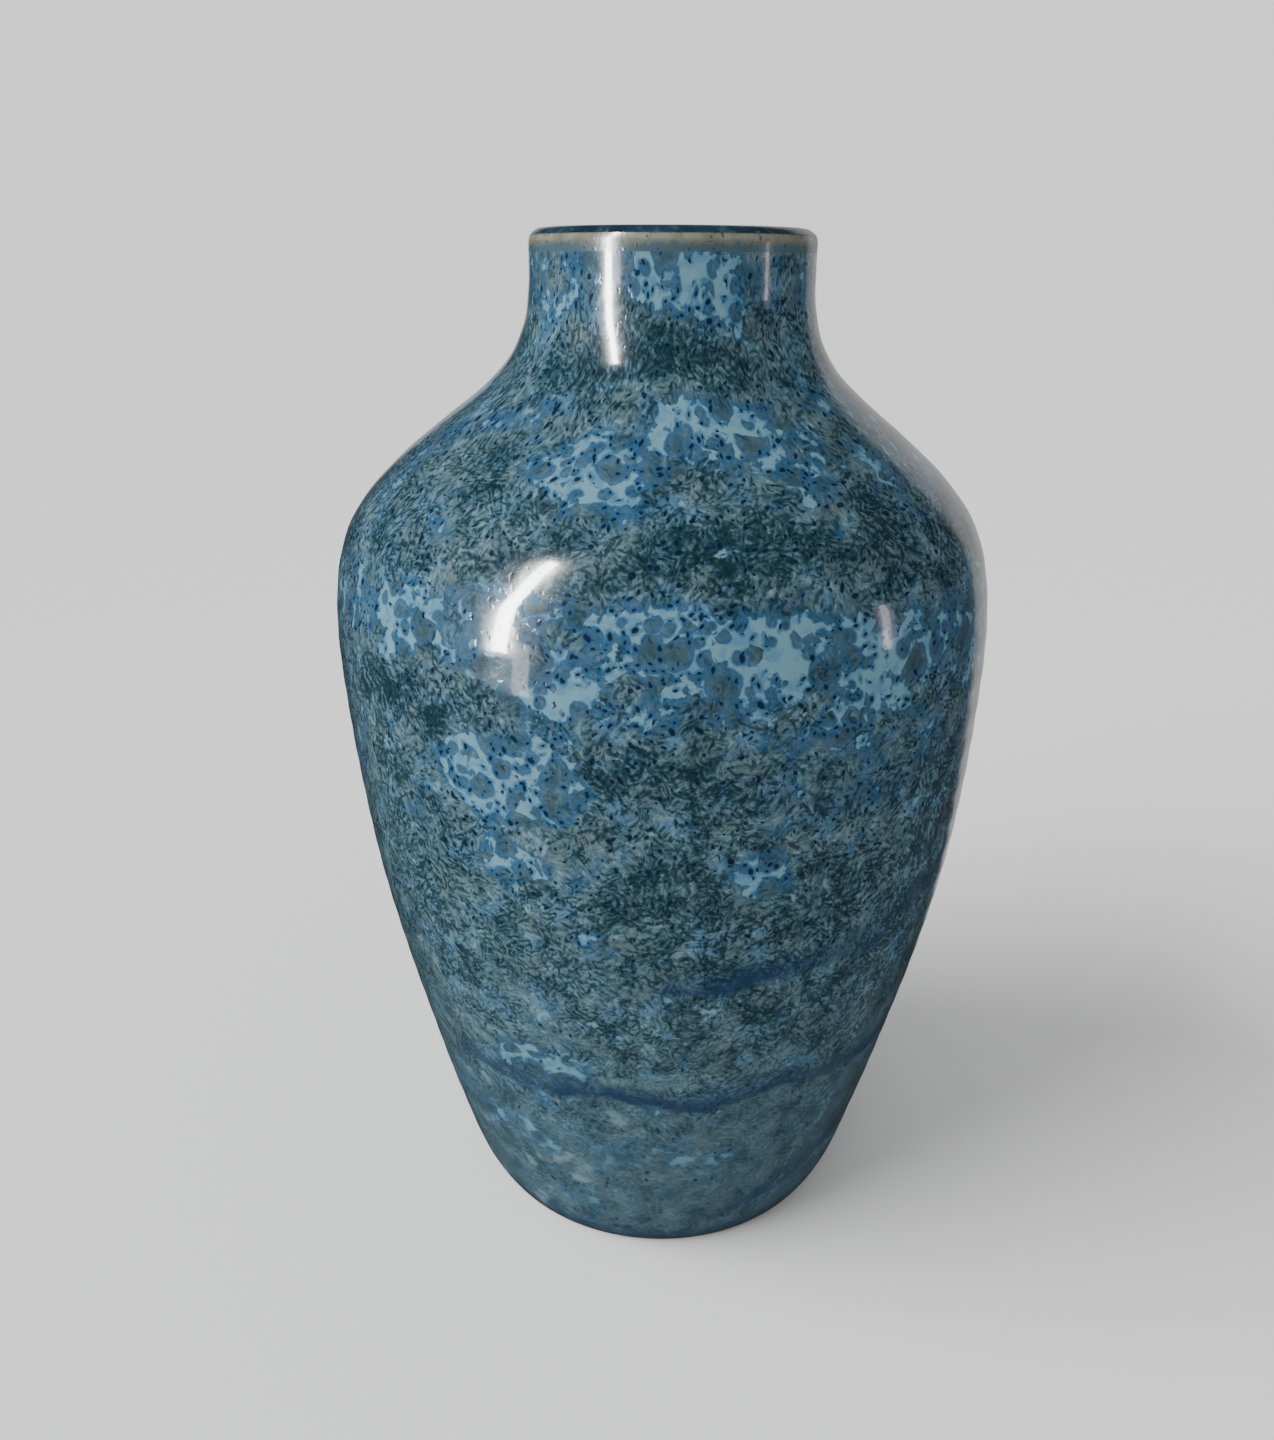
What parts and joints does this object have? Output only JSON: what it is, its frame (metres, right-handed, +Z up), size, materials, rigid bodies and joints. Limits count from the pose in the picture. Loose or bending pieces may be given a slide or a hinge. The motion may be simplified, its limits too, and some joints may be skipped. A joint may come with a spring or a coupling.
{
  "type": "stoneware vase",
  "caption": "Hollow wheel-turned stoneware vase with a short straight neck, high rounded shoulder, tapering body and recessed foot ring, glazed inside and out.",
  "frame": {"origin": "on the turning axis, in the plane that the foot ring stands on", "axes": "+Z up the turning axis from the foot to the mouth; the vase is the same all round, so +X and +Y are free"},
  "size_m": [0.1588, 0.1588, 0.25],
  "materials": {
    "clay": "fired grey-buff stoneware, matt",
    "foot_clay": "bare fired stoneware, wiped clean of glaze, matt",
    "blue_glaze": "glossy crystalline glaze mottled in pale teal, mid blue and green-black",
    "lip_glaze": "glossy glaze broken thin to tan over the lip",
    "liner_glaze": "glossy dark slate-blue liner glaze"
  },
  "bodies": {
    "root": {"stoneware_body": "clay", "foot_ring": "foot_clay", "outer_glaze": "blue_glaze", "lip_glaze": "lip_glaze", "liner_glaze": "liner_glaze"}
  },
  "joints": []
}
